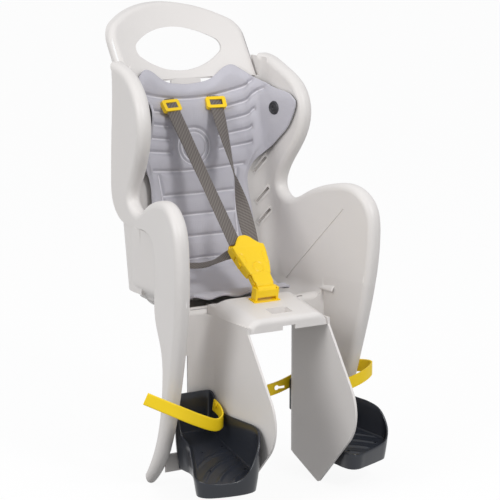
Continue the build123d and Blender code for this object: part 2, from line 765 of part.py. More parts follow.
def footrest(inner_front, toe, inner_line, outer_line):
    inner_x = nose_half_width + tray_gap
    corners = [(inner_x, tray_rear_y), (inner_x, inner_front), toe, (tray_waist_x, tray_waist_y),
               (tray_waist_x, tray_rear_y)]
    plan = Face(Wire.make_polygon([Vector(x, y) for x, y in corners]))
    plan = fillet(plan.vertices().sort_by_distance(Vector(*toe))[0], tray_toe_r)
    sharp = [v for v in plan.vertices() if any(hypot(v.X - x, v.Y - y) < 0.01 for x, y in corners)]
    plan = fillet(sharp, tray_corner_r)
    height = tray_top_z - tray_bottom_z
    block = extrude(Pos(0, 0, tray_bottom_z) * plan, amount=height, dir=Vector(0, 0, 1))
    room = Pos(0, 0, tray_bottom_z - cut_over) * offset(plan, -tray_wall)
    room = extrude(room, amount=height + 2 * cut_over, dir=Vector(0, 0, 1))
    tray = block - (room - tray_layer(-tray_wall, 0))
    tray = tray & (tray_side(inner_line, 0, tray_split_x) + tray_side(outer_line, tray_split_x, rear_reach))
    tread = room & tray_layer(-tray_wall / 2, tread_height)
    for radius in tread_radii:
        ring = Cylinder(radius, height) - Cylinder(radius - tread_width, 2 * height)
        tray = tray + (Pos(*tread_centre, tray_floor_z) * ring & tread)
    for x, y in drain_spots:
        tray = tray - Pos(x, *tray_floor(y)) * Cylinder(drain_d / 2, 2 * cut_over)
    rear = leg_back_y + wall + fit_gap
    front = tray_rear_y - lug_overlap
    lug = Pos((lug_x0 + lug_x1) / 2, (front + rear) / 2, (clamp_low_z + clamp_high_z) / 2) * Box(
        lug_x1 - lug_x0, rear - front, clamp_high_z - clamp_low_z - 2 * lug_margin)
    return tray + lug


def tall_wall():
    face = Face(Wire.make_polygon([yz(p) for p in tray_left_wall]))
    for index, radius in tray_wall_corners.items():
        face = fillet(face.vertices().sort_by_distance(yz(tray_left_wall[index]))[0], radius)
    return Pos(nose_half_width + tray_gap, 0, 0) * extrude(face, amount=tray_wall, dir=Vector(1, 0, 0))


def footrest_clamp():
    rear = leg_back_y + wall + fit_gap
    plate = Pos((clamp_inner_x + lug_x1) / 2, rear + clamp_thickness / 2, (clamp_low_z + clamp_high_z) / 2) * Box(
        lug_x1 - clamp_inner_x, clamp_thickness, clamp_high_z - clamp_low_z)
    return fillet(plate.edges().filter_by(Axis.Y), clamp_corner_r)


def strap_sheet(points):
    plane = Plane(origin=(0, 0, foot_strap_z), x_dir=(1, 0, foot_strap_tilt), z_dir=(-foot_strap_tilt, 0, 1))
    stretch = hypot(1, foot_strap_tilt)
    path = Edge.make_spline([Vector(x * stretch, y) for x, y in points])
    left = []
    right = []
    for i in range(foot_strap_points + 1):
        share = i / foot_strap_points
        tangent = path % share
        side = Vector(-tangent.Y, tangent.X) * (foot_strap_thickness / 2)
        left.append((path @ share) + side)
        right.append((path @ share) - side)
    left = Edge.make_spline(left)
    right = Edge.make_spline(right)
    face = Face(Wire([left, Edge.make_line(left @ 1, right @ 1), right, Edge.make_line(right @ 0, left @ 0)]))
    return extrude(plane * face, amount=foot_strap_width, dir=Vector(0, 0, 1))


def foot_strap(points):
    x, y = foot_strap_start()
    return strap_sheet([(x, y), (x, y - foot_strap_straight / 2), (x, y - foot_strap_straight)] + points)


def strap_keyhole():
    middle = foot_strap_z + foot_strap_tilt * keyhole_x + foot_strap_width / 2
    length, height = keyhole_slot
    eye = Rot(90, 0, 0) * Cylinder(keyhole_d / 2, 4 * cut_over)
    slit = Pos(length / 2, 0, 0) * Box(length, 4 * cut_over, height)
    return Pos(keyhole_x, foot_strap_right[-1][1], middle) * (eye + slit)


def foot_strap_start():
    return (nose_half_width + tray_gap + tray_wall + foot_strap_thickness / 2 + fit_gap, foot_strap_y)


def mirrored(solid):
    return mirror(solid, Plane.YZ)


def strap_rivet():
    face_x = foot_strap_start()[0] + foot_strap_thickness / 2 + rivet_gap
    middle = foot_strap_z + foot_strap_tilt * face_x + foot_strap_width / 2
    disc = Rot(0, 90, 0) * Cylinder(rivet_d / 2, rivet_height)
    return Pos(face_x + rivet_height / 2, foot_strap_y - rivet_setback, middle) * disc


right_pieces = {
    "pad_snap": pad_snap(),
    "shoulder_strap": shoulder_strap(),
    "strap_slider": strap_slider(),
    "buckle_button": buckle_button(),
    "footrest_clamp": footrest_clamp(),
    "strap_rivet": strap_rivet(),
}
nodes = {
    "seat_shell": seat_shell(),
    "seat_pad": seat_pad(),
    "harness_bar": harness_bar(),
    "waist_anchor": mirrored(lap_anchor()),
    "waist_strap": mirrored(lap_strap()),
    "buckle_body": buckle_body(),
    "buckle_tongue": buckle_tongue(),
    "crotch_clip": crotch_clip(),
    "footrest_left": mirrored(footrest(tray_left_front, tray_left_toe, tray_rear_line, tray_rear_line) + tall_wall()),
    "footrest_right": footrest(tray_right_front, tray_right_toe, tray_right_inner, tray_right_outer),
    "foot_strap_right": foot_strap(foot_strap_right) - strap_keyhole(),
    "foot_strap_left": mirrored(foot_strap(foot_strap_left)),
}
for name, solid in right_pieces.items():
    nodes[name + "_right"] = solid
    nodes[name + "_left"] = mirrored(solid)

os.makedirs("parts", exist_ok=True)
for name, solid in nodes.items():
    export_step(Pos(0, -mount_y, 0) * solid, "parts/" + name + ".step")
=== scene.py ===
import bpy
import math
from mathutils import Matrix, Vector


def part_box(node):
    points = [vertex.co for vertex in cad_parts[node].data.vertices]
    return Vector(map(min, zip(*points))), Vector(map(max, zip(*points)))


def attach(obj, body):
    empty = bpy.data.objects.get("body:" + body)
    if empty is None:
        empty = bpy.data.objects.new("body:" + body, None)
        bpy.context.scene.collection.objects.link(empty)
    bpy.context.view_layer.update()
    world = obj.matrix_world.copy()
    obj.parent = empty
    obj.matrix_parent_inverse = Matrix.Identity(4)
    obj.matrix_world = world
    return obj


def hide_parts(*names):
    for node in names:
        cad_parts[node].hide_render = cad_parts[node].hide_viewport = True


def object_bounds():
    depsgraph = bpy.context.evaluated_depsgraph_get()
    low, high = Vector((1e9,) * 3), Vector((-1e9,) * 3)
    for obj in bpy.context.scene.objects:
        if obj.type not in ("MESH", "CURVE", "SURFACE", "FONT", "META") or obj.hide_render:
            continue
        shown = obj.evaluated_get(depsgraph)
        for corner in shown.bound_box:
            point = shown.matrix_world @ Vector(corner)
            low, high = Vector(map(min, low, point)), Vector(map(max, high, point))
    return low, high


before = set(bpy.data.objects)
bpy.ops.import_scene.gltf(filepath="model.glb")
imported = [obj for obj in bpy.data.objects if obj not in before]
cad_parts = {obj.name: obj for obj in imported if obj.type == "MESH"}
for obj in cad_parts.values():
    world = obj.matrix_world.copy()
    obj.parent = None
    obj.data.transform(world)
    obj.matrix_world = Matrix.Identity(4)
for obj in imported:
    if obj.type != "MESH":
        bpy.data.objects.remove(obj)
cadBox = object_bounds()
print("frame loaded, CAD box", [[round(c, 3) for c in corner] for corner in cadBox])

# Sizes below are millimetres of the seat drawing, whose origin is ahead of the carrier bolts
drawing = {"boltsY": 46.0, "recline": 0.158}


def spot(x, y, z):
    return Vector((x, y - drawing["boltsY"], z)) / 1000


def smooth(low, high, value):
    part = min(max((value - low) / (high - low), 0.0), 1.0)
    return part * part * (3 - 2 * part)


def along(table, value):
    # straight runs between the (place, amount) pairs of a table
    if value <= table[0][0]:
        return table[0][1]
    for (a, low), (b, high) in zip(table, table[1:]):
        if value <= b:
            return low + (high - low) * (value - a) / (b - a)
    return table[-1][1]


def curveThrough(points, share):
    # a smooth curve through points, share 0 to 1 by length
    points = [Vector(p) for p in points]
    lengths = [(b - a).length for a, b in zip(points, points[1:])]
    target = min(max(share, 0.0), 1.0) * sum(lengths)
    index = 0
    while index < len(lengths) - 1 and target > lengths[index]:
        target -= lengths[index]
        index += 1
    t = target / lengths[index]
    before = points[max(index - 1, 0)]
    start, end = points[index], points[index + 1]
    after = points[min(index + 2, len(points) - 1)]
    startPull = (end - before) / 2
    endPull = (after - start) / 2
    return (start * (2 * t ** 3 - 3 * t ** 2 + 1) + startPull * (t ** 3 - 2 * t ** 2 + t)
            + end * (3 * t ** 2 - 2 * t ** 3) + endPull * (t ** 3 - t ** 2))


def curveWay(points, share, reach):
    # step along the curve at a share of it
    return curveThrough(points, share + reach) - curveThrough(points, share - reach)


# Materials
def linear(hexColour):
    def channel(value):
        return value / 12.92 if value <= 0.04045 else ((value + 0.055) / 1.055) ** 2.4
    digits = hexColour.lstrip("#")
    return [channel(int(digits[i:i + 2], 16) / 255) for i in (0, 2, 4)] + [1.0]


def addNode(tree, kind, settings=None, links=None):
    node = tree.nodes.new(kind)
    for name, value in (settings or {}).items():
        if name in node.inputs:
            node.inputs[name].default_value = value
        else:
            setattr(node, name, value)
    for name, source in (links or {}).items():
        if isinstance(source, (int, float)):
            node.inputs[name].default_value = source
        else:
            tree.links.new(source, node.inputs[name])
    return node


def newMaterial(name, settings):
    material = bpy.data.materials.new(name)
    material.use_nodes = True
    tree = material.node_tree
    shader = tree.nodes["Principled BSDF"]
    for key, value in settings.items():
        shader.inputs[key].default_value = value
    return material, tree, shader


def waveScale(millimetres):
    # scale at which the bands of a wave texture stand this far apart, in metres of UV
    return 2 * math.pi / 20 * 1000 / millimetres


def mouldedPlastic(name, colour, shade, roughness, grain, depth):
    # injection moulded plastic: satin, a fine spark-eroded grain and faint flow marks 90 mm wide
    material, tree, shader = newMaterial(name, {"Roughness": roughness, "IOR": 1.49})
    place = addNode(tree, "ShaderNodeTexCoord").outputs["Object"]
    flow = addNode(tree, "ShaderNodeTexNoise", {"Scale": 1000 / 90, "Detail": 3.0}, {"Vector": place})
    tint = addNode(tree, "ShaderNodeMix", {"data_type": "RGBA", "A": linear(shade), "B": linear(colour)},
                   {"Factor": flow.outputs["Fac"]})
    pits = addNode(tree, "ShaderNodeTexNoise", {"Scale": 1000 / grain, "Detail": 2.0}, {"Vector": place})
    bump = addNode(tree, "ShaderNodeBump", {"Strength": depth, "Distance": 0.0006},
                   {"Height": pits.outputs["Fac"]})
    tree.links.new(tint.outputs["Result"], shader.inputs["Base Color"])
    tree.links.new(bump.outputs["Normal"], shader.inputs["Normal"])
    return material


# polypropylene of the shell: warm light grey, grain drawn 2.4 mm wide so that it shows
shellPlastic = mouldedPlastic("polypropylene, light grey", "#E3DFDC", "#DEDAD7", 0.42, 2.4, 0.10)
# polypropylene of the trays: blue-black, glossier
trayPlastic = mouldedPlastic("polypropylene, blue black", "#2C2F37", "#272A31", 0.28, 2.4, 0.10)
# acetal of the buckle and sliders: saturated yellow
yellowPlastic = mouldedPlastic("acetal, yellow", "#FFD714", "#FFD20C", 0.34, 2.0, 0.05)
# soft PVC of the foot straps: yellow, duller
strapRubber = mouldedPlastic("soft pvc, yellow", "#FFDC1E", "#FFD814", 0.45, 2.0, 0.10)
# nylon of the studs, the waist anchor and the bar behind the back
darkNylon = mouldedPlastic("nylon, charcoal", "#35353A", "#303035", 0.4, 2.0, 0.08)
# black underside of the pad: partly its brushed nylon lining, partly painted shade where it shows in the
# gaps under the pad's edges
liningAndShade = mouldedPlastic("brushed nylon lining, black", "#1C1B1D", "#171618", 0.9, 2.0, 0.3)


# Sewn lines of the pad, laid flat: height at the middle, rise at 100 mm across, from and to across
sewing = {
    "lines": [(338, 15, 0, 136), (313, 15, 50, 164), (291, 13, 50, 140), (269, 11, 50, 126),
              (247, 9, 50, 120), (216, 7, 0, 90), (176, 3, 0, 70), (141, 1, 0, 70), (104, -2, 0, 70),
              (66, -4, 0, 72)],
    "ringZ": 257.0, "rings": (31.0, 24.0),
    # lines down each side: least distance from the middle, its height, half length, opening of the ends
    "sideX": 71.0, "sideZ": 127.0, "sideHalf": 87.0, "sideOpen": 7.0,
    # width and strength of the painted highlight along each sewn line
    "seamHighlightWidth": 2.2, "seamHighlightShare": 0.85,
    "topZ": 400.0,  # height at which the flat layout starts
}


def sewnDistance(tree, cloth):
    # metres from the nearest sewn line, drawn from the flat layout in the UV map
    kind = "ShaderNodeMath"
    size, minus, times = [{"operation": name} for name in ("ABSOLUTE", "SUBTRACT", "MULTIPLY")]
    timesPlus, most, least = [{"operation": name} for name in ("MULTIPLY_ADD", "MAXIMUM", "MINIMUM")]
    split = addNode(tree, "ShaderNodeSeparateXYZ", {}, {0: cloth})
    across = addNode(tree, kind, size, {0: split.outputs["X"]}).outputs[0]
    height = addNode(tree, kind, minus, {0: sewing["topZ"] / 1000, 1: split.outputs["Y"]}).outputs[0]
    acrossSquare = addNode(tree, kind, times, {0: across, 1: across}).outputs[0]
    # the ring's two circles
    lift = addNode(tree, kind, minus, {0: height, 1: sewing["ringZ"] / 1000}).outputs[0]
    reach = addNode(tree, kind, timesPlus, {0: lift, 1: lift, 2: acrossSquare}).outputs[0]
    reach = addNode(tree, kind, {"operation": "SQRT"}, {0: reach}).outputs[0]
    gaps = [addNode(tree, kind, minus, {0: reach, 1: radius / 1000}) for radius in sewing["rings"]]
    # lines across, then the line down each side
    runs = [(height, across, acrossSquare, middle, rise / 10, start, stop)
            for middle, rise, start, stop in sewing["lines"]]
    level = addNode(tree, kind, minus, {0: height, 1: sewing["sideZ"] / 1000}).outputs[0]
    away = addNode(tree, kind, size, {0: level}).outputs[0]
    levelSquare = addNode(tree, kind, times, {0: level, 1: level}).outputs[0]
    opening = sewing["sideOpen"] / sewing["sideHalf"] ** 2 * 1000
    runs.append((across, away, levelSquare, sewing["sideX"], opening, -1, sewing["sideHalf"]))
    for over, run, runSquare, middle, rise, start, stop in runs:
        line = addNode(tree, kind, timesPlus, {0: runSquare, 1: rise, 2: middle / 1000})
        gap = addNode(tree, kind, minus, {0: over, 1: line.outputs[0]})
        gap = addNode(tree, kind, size, {0: gap.outputs[0]})
        before = addNode(tree, kind, minus, {0: start / 1000, 1: run})
        after = addNode(tree, kind, minus, {0: run, 1: stop / 1000})
        past = addNode(tree, kind, most, {0: before.outputs[0], 1: after.outputs[0]})
        gaps.append(addNode(tree, kind, most, {0: gap.outputs[0], 1: past.outputs[0]}))
    nearest = 1.0
    for gap in gaps:
        gap = addNode(tree, kind, size, {0: gap.outputs[0]})
        nearest = addNode(tree, kind, least, {0: gap.outputs[0], 1: nearest}).outputs[0]
    return nearest


def padCloth():
    # polyester knit over foam: matt, a fine cross weave and a soft sheen at grazing angles
    material, tree, shader = newMaterial("polyester knit, lavender grey", {
        "Roughness": 0.88, "IOR": 1.45, "Sheen Weight": 0.18, "Sheen Roughness": 0.5})
    place = addNode(tree, "ShaderNodeUVMap", {"uv_map": "UVMap"}).outputs["UV"]
    stitch = {"Scale": waveScale(3.4), "Distortion": 0.6}  # stitches drawn 3.4 mm wide so that they show
    wale = addNode(tree, "ShaderNodeTexWave", stitch, {"Vector": place})
    course = addNode(tree, "ShaderNodeTexWave", {**stitch, "bands_direction": "Y"}, {"Vector": place})
    weave = addNode(tree, "ShaderNodeMath", {"operation": "MULTIPLY"},
                    {0: wale.outputs["Fac"], 1: course.outputs["Fac"]})
    cloud = addNode(tree, "ShaderNodeTexNoise", {"Scale": 1000 / 60, "Detail": 4.0}, {"Vector": place})
    tint = addNode(tree, "ShaderNodeMix",
                   {"data_type": "RGBA", "A": linear("#BBB9C1"), "B": linear("#C6C4CB")},
                   {"Factor": cloud.outputs["Fac"]})
    # pressed channel, with a paler line painted along each sewn line: painted highlight where light catches
    # the seam's lip, partly a paler thread
    gap = sewnDistance(tree, place)
    width = sewing["seamHighlightWidth"] / 1000
    fade = {"interpolation_type": "SMOOTHSTEP"}
    seamHighlight = addNode(tree, "ShaderNodeMapRange", {**fade, "From Max": width, "To Min": 1.0, "To Max": 0.0},
                     {"Value": gap})
    channel = addNode(tree, "ShaderNodeMapRange", {**fade, "From Max": 3 * width}, {"Value": gap})
    share = addNode(tree, "ShaderNodeMath", {"operation": "MULTIPLY"},
                    {0: seamHighlight.outputs["Result"], 1: sewing["seamHighlightShare"]})
    # painted highlight: the cloth is paled towards white along each sewn line
    sewn = addNode(tree, "ShaderNodeMix", {"data_type": "RGBA", "B": linear("#EAE8ED")},
                   {"A": tint.outputs["Result"], "Factor": share.outputs["Value"]})
    pressed = addNode(tree, "ShaderNodeBump", {"Strength": 0.6, "Distance": 0.0025},
                      {"Height": channel.outputs["Result"]})
    bump = addNode(tree, "ShaderNodeBump", {"Strength": 0.15, "Distance": 0.0008},
                   {"Height": weave.outputs["Value"], "Normal": pressed.outputs["Normal"]})
    tree.links.new(sewn.outputs["Result"], shader.inputs["Base Color"])
    tree.links.new(bump.outputs["Normal"], shader.inputs["Normal"])
    return material


def beltWebbing():
    # woven polyester belt: a diagonal twill 4.6 mm apart and fainter ribs along it, 5 mm apart
    material, tree, shader = newMaterial("polyester webbing, brown grey", {
        "Roughness": 0.72, "IOR": 1.5, "Sheen Weight": 0.15})
    place = addNode(tree, "ShaderNodeUVMap", {"uv_map": "UVMap"}).outputs["UV"]
    rib = addNode(tree, "ShaderNodeTexWave", {"Scale": waveScale(5.0)}, {"Vector": place})
    twill = addNode(tree, "ShaderNodeTexWave",
                    {"Scale": waveScale(4.6) * math.sqrt(2), "bands_direction": "DIAGONAL"},
                    {"Vector": place})
    ribShare = addNode(tree, "ShaderNodeMath", {"operation": "MULTIPLY"}, {0: rib.outputs["Fac"], 1: 0.2})
    weave = addNode(tree, "ShaderNodeMath", {"operation": "MULTIPLY_ADD"},
                    {0: twill.outputs["Fac"], 1: 0.8, 2: ribShare.outputs["Value"]})
    tint = addNode(tree, "ShaderNodeMix",
                   {"data_type": "RGBA", "A": linear("#5A5450"), "B": linear("#7A736E")},
                   {"Factor": weave.outputs["Value"]})
    bump = addNode(tree, "ShaderNodeBump", {"Strength": 0.4, "Distance": 0.0006},
                   {"Height": weave.outputs["Value"]})
    tree.links.new(tint.outputs["Result"], shader.inputs["Base Color"])
    tree.links.new(bump.outputs["Normal"], shader.inputs["Normal"])
    return material


padFabric = padCloth()
webbing = beltWebbing()
print("materials made")


# Which finish each CAD node wears: material, slot and nodes
finishes = [
    (shellPlastic, "shell", ["seat_shell"]),
    (padFabric, "pad", ["seat_pad"]),
    (darkNylon, "snap", ["pad_snap_left", "pad_snap_right"]),
    (webbing, "webbing", ["shoulder_strap_left", "shoulder_strap_right", "waist_strap"]),
    (yellowPlastic, "yellow_plastic", ["strap_slider_left", "strap_slider_right", "buckle_body",
                                       "buckle_tongue", "buckle_button_left", "buckle_button_right",
                                       "crotch_clip"]),
    (darkNylon, "dark_plastic", ["harness_bar", "waist_anchor"]),
    (trayPlastic, "tray_plastic", ["footrest_left", "footrest_right"]),
    (trayPlastic, "dark_plastic", ["footrest_clamp_left", "footrest_clamp_right"]),
    (strapRubber, "strap_rubber", ["foot_strap_left", "foot_strap_right"]),
    (strapRubber, "dark_plastic", ["strap_rivet_left", "strap_rivet_right"]),
]
for material, slotName, nodeNames in finishes:
    for nodeName in nodeNames:
        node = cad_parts[nodeName]
        node.data.materials.clear()
        node.data.materials.append(material)
print("finishes on", sum(len(nodeNames) for material, slotName, nodeNames in finishes), "nodes")


# Ways of modelling that several pieces share
def deselectAll():
    for thing in bpy.context.selected_objects:
        thing.select_set(False)


def makeActive(thing):
    deselectAll()
    thing.select_set(True)
    bpy.context.view_layer.objects.active = thing


def applyModifier(thing, kind, name, settings):
    makeActive(thing)
    modifier = thing.modifiers.new(name, kind)
    for key, value in settings.items():
        setattr(modifier, key, value)
    bpy.ops.object.modifier_apply(modifier=name)


def closeSeams(piece):
    makeActive(piece)
    bpy.ops.object.mode_set(mode="EDIT")
    bpy.ops.mesh.select_all(action="SELECT")
    bpy.ops.mesh.remove_doubles(threshold=0.00001)
    bpy.ops.mesh.normals_make_consistent(inside=False)
    bpy.ops.object.mode_set(mode="OBJECT")


def bentGrid(name, columns, rows, place, material, cloth=None, hold=None):
    # a flat grid laid along a surface: place(u, v) gives each point, cloth(u, v) its UV in metres,
    # and hold(u, v) how firmly the group named sewn holds it
    deselectAll()
    bpy.ops.mesh.primitive_grid_add(x_subdivisions=columns, y_subdivisions=rows, size=2)
    piece = bpy.context.active_object
    piece.name = name
    shares = [((vertex.co.x + 1) / 2, (vertex.co.y + 1) / 2) for vertex in piece.data.vertices]
    for vertex, (u, v) in zip(piece.data.vertices, shares):
        vertex.co = place(u, v)
    layer = piece.data.uv_layers["UVMap"].data
    for loop in piece.data.loops:
        u, v = shares[loop.vertex_index]
        layer[loop.index].uv = cloth(u, v) if cloth else (u, v)
    if hold:
        held = piece.vertex_groups.new(name="sewn")
        for vertex, (u, v) in zip(piece.data.vertices, shares):
            held.add([vertex.index], hold(u, v), "REPLACE")
    piece.data.materials.append(material)
    bpy.ops.object.shade_smooth()
    return piece


# Quilted pad: laid out flat, across by down from the top of the back, then folded into the tub
pad = {
    "top": [(0, 38), (42, 32), (72, 12), (88, 8), (104, 16), (150, 32), (190, 43), (228, 50), (241, 62)],
    "side": [(241, 62), (238, 76), (217, 108), (186, 134), (153, 157), (118, 176), (101, 196), (99, 222),
             (104, 256), (106, 300), (105, 345), (103, 385), (103, 430), (100, 478), (94, 506)],
    "front": [(94, 506), (78, 514), (58, 508), (34, 516), (0, 511)],
    "seat": [(40, 8.5), (12, 9.5), (-6, 15), (-24, 23), (-40, 27), (-58, 26)],  # (y, z) ahead of the fold
    "foldZ": 62.0, "foldR": 34.0,
    "columns": 96, "rows": 108,
    "thick": 13.0, "edgeThick": 5.0, "edgeWidth": 14.0, "halfWidth": 105, "length": 473,
    "flapShare": 0.55, "flapFrom": 105, "flapTo": 190,  # the flaps thin out
    "flapLift": 3.0, "liftFrom": 130, "liftTo": 225,  # and stand off the wall
    "clear": 1.5, "lining": 4.0, "cornerFill": 12.0, "cornerAt": 126.0, "cornerWidth": 34.0,
    "groove": 3.2, "grooveWidth": 2.3, "pillow": 8.0, "pillowDepth": 2.6,
    "frontWave": 2.4, "frontWaveLength": 57.0, "frontWaveShare": 0.05,
    "swell": 4.5, "swellSteps": 20,
    "fabric": {"quality": 5, "mass": 0.2, "tension_stiffness": 6, "compression_stiffness": 6,
               "shear_stiffness": 4, "bending_stiffness": 0.4, "vertex_group_mass": "sewn",
               "use_pressure": True, "uniform_pressure_force": 3.5},
}
tub = {"backY": 116.0, "backR": 743.0, "cornerX": 91.0, "cornerY": 68.07, "cornerR": 42.0,
       "sideX": 133.0, "kneeY": 42.0, "flare": 0.19}


def tubWall(across, off):
    # plan of the tub's inner wall at a length across from the middle, off millimetres inside it
    sign = -1 if across < 0 else 1
    s = abs(across)
    turn = math.asin(tub["cornerX"] / (tub["backR"] - tub["cornerR"]))
    backLength = tub["backR"] * turn
    cornerLength = tub["cornerR"] * (math.pi / 2 - turn)
    straight = tub["cornerY"] - tub["kneeY"]
    if s <= backLength:
        angle = s / tub["backR"]
        radius = tub["backR"] - off
        x = radius * math.sin(angle)
        y = tub["backY"] - tub["backR"] + radius * math.cos(angle)
    elif s <= backLength + cornerLength:
        angle = turn + (s - backLength) / tub["cornerR"]
        radius = tub["cornerR"] - off
        x = tub["cornerX"] + radius * math.sin(angle)
        y = tub["cornerY"] + radius * math.cos(angle)
    else:
        run = s - backLength - cornerLength
        past = max(run - straight, 0) / math.hypot(1, tub["flare"])
        x = tub["sideX"] - off + tub["flare"] * past
        y = tub["cornerY"] - min(run, straight) - past
    return sign * x, y


def padProfile(down):
    # fold and seat under the pad: place (y, z), the way out of it, and how much of it is seat
    foldDown = sewing["topZ"] - pad["foldZ"]
    lean = math.atan(drawing["recline"])
    wallY = tub["backY"] + drawing["recline"] * pad["foldZ"]
    turn = math.pi / 2 - lean
    radius = pad["foldR"]
    bend = radius * turn
    centre = Vector((wallY - radius * math.cos(lean), pad["foldZ"] + radius * math.sin(lean)))
    if down <= foldDown + bend:
        angle = (down - foldDown) / radius
        out = Vector((math.cos(lean + angle), -math.sin(lean + angle)))
        return centre + out * radius, -out, smooth(0, 1, angle / turn)
    seat = [(centre.x, centre.y - radius)] + pad["seat"]
    total = sum((Vector(b) - Vector(a)).length for a, b in zip(seat, seat[1:]))
    share = (down - foldDown - bend) / total
    way = curveWay(seat, share, 0.01).normalized()
    return curveThrough(seat, share), Vector((way.y, -way.x)), 1.0


def onPad(across, down, off):
    off += pad["clear"] + pad["flapLift"] * smooth(pad["liftFrom"], pad["liftTo"], abs(across))
    off += pad["cornerFill"] * math.exp(-((abs(across) - pad["cornerAt"]) / pad["cornerWidth"]) ** 2)
    wallX, wallY = tubWall(across, off)
    z = sewing["topZ"] - down
    if z >= pad["foldZ"]:
        return spot(wallX, wallY + drawing["recline"] * z, z)
    here, out, seatShare = padProfile(down)
    hollow = (wallY - tub["backY"] + off) * (1 - seatShare)
    x = wallX * (1 - seatShare) + across * seatShare
    return spot(x, here.x + out.x * off + hollow, here.y + out.y * off)


def padLayout(u, v):
    # the four drawn edges of the flat pad filled in between, u from left to right, v from top to front
    side = 1 if u >= 0.5 else -1
    half = abs(u - 0.5) * 2
    top = curveThrough(pad["top"], half)
    front = curveThrough(list(reversed(pad["front"])), half)
    edge = curveThrough(pad["side"], v)
    middleTop, middleFront = Vector(pad["top"][0]), Vector(pad["front"][-1])
    cornerTop, cornerFront = Vector(pad["side"][0]), Vector(pad["side"][-1])
    ends = top.lerp(front, v)
    sides = middleTop.lerp(middleFront, v).lerp(edge, half)
    corners = middleTop.lerp(cornerTop, half).lerp(middleFront.lerp(cornerFront, half), v)
    flat = ends + sides - corners
    return side * flat.x, flat.y


def fromSeam(across, down):
    # distance to the nearest sewn line of the flat pad
    s, z = abs(across), sewing["topZ"] - down
    nearest = min(abs(math.hypot(s, z - sewing["ringZ"]) - radius) for radius in sewing["rings"])
    for middle, rise, start, stop in sewing["lines"]:
        inside = min(max(s, start), stop)
        nearest = min(nearest, math.hypot(z - middle - rise * (inside / 100) ** 2, s - inside))
    level = min(max(z - sewing["sideZ"], -sewing["sideHalf"]), sewing["sideHalf"])
    sideX = sewing["sideX"] + sewing["sideOpen"] * (level / sewing["sideHalf"]) ** 2
    return min(nearest, math.hypot(s - sideX, z - sewing["sideZ"] - level))


def padThickness(u, v, across):
    fromEdge = min((1 - abs(u - 0.5) * 2) * pad["halfWidth"], min(v, 1 - v) * pad["length"])
    body = pad["thick"] - pad["edgeThick"]
    full = pad["edgeThick"] + body * smooth(0, pad["edgeWidth"], fromEdge)
    return full * (1 - (1 - pad["flapShare"]) * smooth(pad["flapFrom"], pad["flapTo"], abs(across)))


def swellPad(piece):
    # air pressure swells the cloth between the sewn lines that hold it
    start = [vertex.co.copy() for vertex in piece.data.vertices]
    swelling = piece.modifiers.new("swelling", "CLOTH")
    for key, value in pad["fabric"].items():
        setattr(swelling.settings, key, value)
    swelling.settings.effector_weights.gravity = 0
    for step in range(1, pad["swellSteps"] + 1):
        bpy.context.scene.frame_set(step)
    makeActive(piece)
    bpy.ops.object.modifier_apply(modifier="swelling")
    farthest = 0
    for vertex, before in zip(piece.data.vertices, start):
        move = vertex.co - before
        farthest = max(farthest, move.length * 1000)
        if move.length > pad["swell"] / 1000:
            vertex.co = before + move.normalized() * pad["swell"] / 1000
    print("pad swelled", round(farthest, 1), "mm")
    bpy.context.scene.frame_set(1)


def pressSeams(piece):
    # sewn lines pressed in after the swelling, from the flat layout kept in the UV map
    layer = piece.data.uv_layers["UVMap"].data
    flat = {loop.vertex_index: layer[loop.index].uv for loop in piece.data.loops}
    pressed = []
    for vertex in piece.data.vertices:
        gap = fromSeam(flat[vertex.index][0] * 1000, flat[vertex.index][1] * 1000)
        depth = pad["groove"] * math.exp(-(gap / pad["grooveWidth"]) ** 2)
        pillow = pad["pillowDepth"] * math.exp(-(gap / pad["pillow"]) ** 2)
        pressed.append(vertex.co - vertex.normal * (depth + pillow) / 1000)
    for vertex, place in zip(piece.data.vertices, pressed):
        vertex.co = place


def makePad():
    def place(u, v):
        across, down = padLayout(u, 1 - v)
        wave = pad["frontWave"] * math.sin(2 * math.pi * across / pad["frontWaveLength"])
        wave *= smooth(pad["frontWaveShare"], 0, v)
        return onPad(across, down, padThickness(u, 1 - v, across) + wave)

    def cloth(u, v):
        across, down = padLayout(u, 1 - v)
        return across / 1000, down / 1000

    def hold(u, v):
        if min(u, v, 1 - u, 1 - v) < 0.001:
            return 1.0
        return math.exp(-(fromSeam(*padLayout(u, 1 - v)) / pad["pillow"]) ** 2)

    piece = bentGrid("quiltedPad", pad["columns"], pad["rows"], place, padFabric, cloth, hold)
    swellPad(piece)
    piece.vertex_groups.clear()
    applyModifier(piece, "SUBSURF", "finer", {"levels": 1, "render_levels": 1})
    pressSeams(piece)
    # black underside of the pad, partly painted shade in the gaps under its edges
    piece.data.materials.append(liningAndShade)
    applyModifier(piece, "SOLIDIFY", "body",
                  {"thickness": pad["lining"] / 1000, "offset": -1.0, "material_offset": 1})
    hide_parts("seat_pad")
    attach(piece, "seat")
    print("pad made,", len(piece.data.polygons), "faces")
    return piece


padPiece = makePad()

